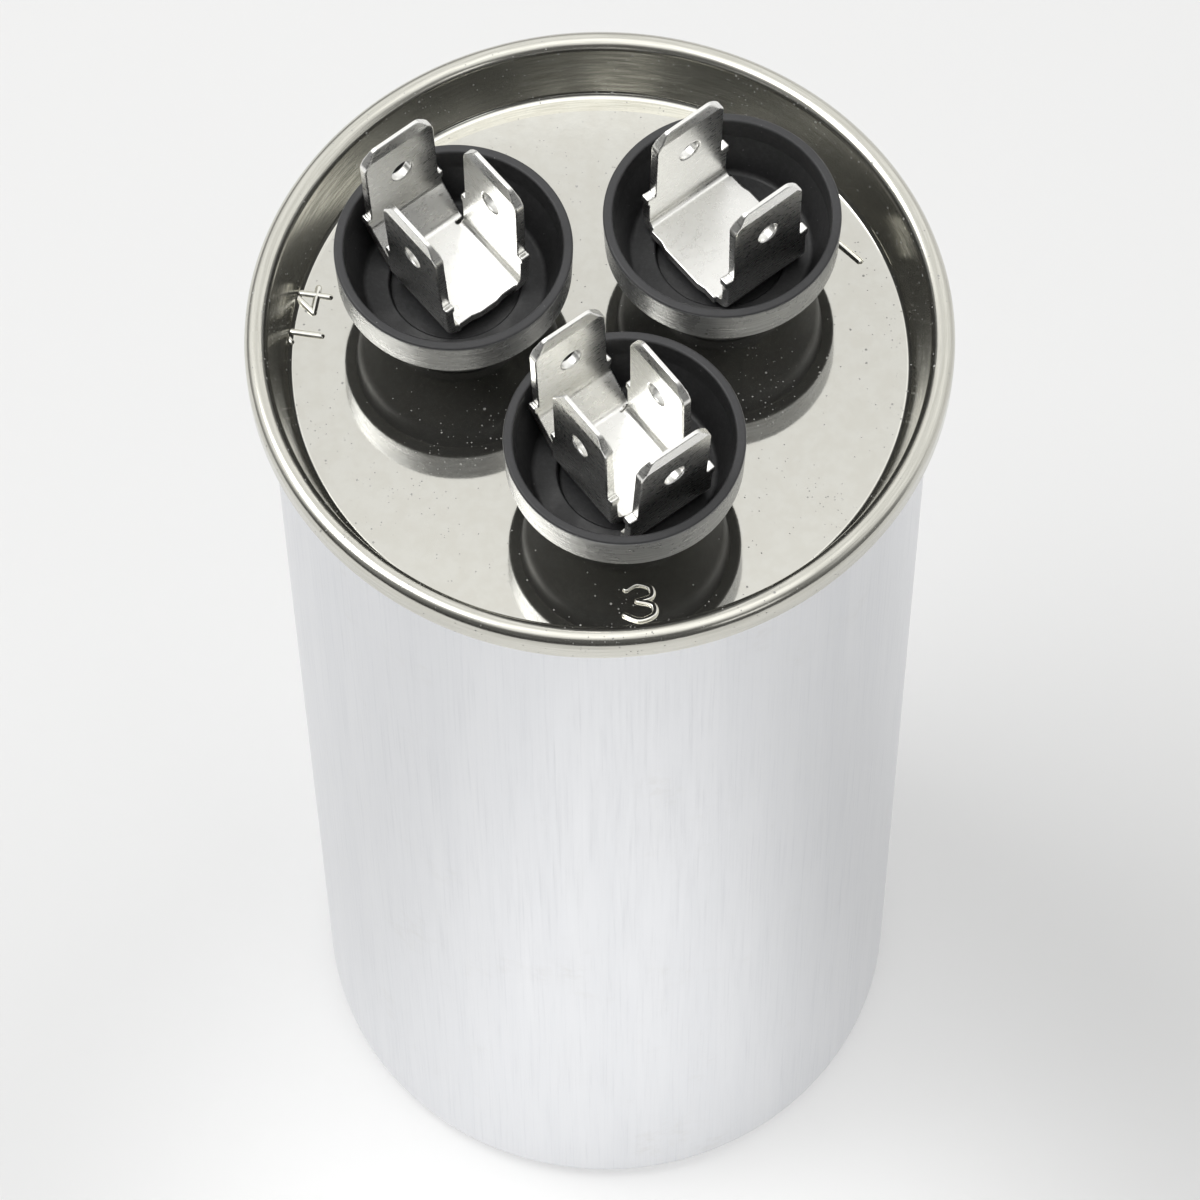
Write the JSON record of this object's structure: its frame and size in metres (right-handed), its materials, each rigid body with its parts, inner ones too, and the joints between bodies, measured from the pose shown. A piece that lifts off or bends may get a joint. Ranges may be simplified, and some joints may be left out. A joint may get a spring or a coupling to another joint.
{
  "type": "motor run capacitor",
  "caption": "Round can capacitor with a double-seamed cover carrying insulated groups of push-on tabs, for starting and running electric motors.",
  "frame": {"origin": "centre of the flat base of the can", "axes": "+Z along the can from the base to the tabs, +X and +Y across it; the group with four tabs lies towards -Y"},
  "size_m": [0.0534, 0.0534, 0.1205],
  "materials": {
    "can": "satin drawn",
    "cover": "bright tinplate",
    "sealant": "matte",
    "insulator": "satin",
    "tab_metal": "tinned",
    "stud_metal": "tinned",
    "washer": "satin",
    "lug_metal": "tinned",
    "lead": "sleeved wire",
    "disc": "pressboard",
    "film": "rolled film",
    "core": "plain",
    "zinc": "sprayed zinc",
    "sleeve": "plain",
    "tray": "satin"
  },
  "bodies": {
    "root": {"can": "can", "cover": "cover", "seam_compound": "sealant", "insulator_common": "insulator", "insulator_compressor": "insulator", "insulator_fan": "insulator", "terminal_common": "tab_metal", "terminal_compressor": "tab_metal", "terminal_fan": "tab_metal", "stud_common": "stud_metal", "stud_compressor": "stud_metal", "stud_fan": "stud_metal", "washer_common": "washer", "washer_compressor": "washer", "washer_fan": "washer", "lug_common": "lug_metal", "lug_compressor": "lug_metal", "lug_fan": "lug_metal", "lead_common": "lead", "lead_compressor": "lead", "lead_fan": "lead", "top_disc": "disc", "winding_compressor": "film", "winding_fan": "film", "core_tube": "core", "end_spray_compressor": "zinc", "end_spray_fan": "zinc", "end_spray_common": "zinc", "winding_sleeve": "sleeve", "bottom_tray": "tray"}
  },
  "joints": []
}
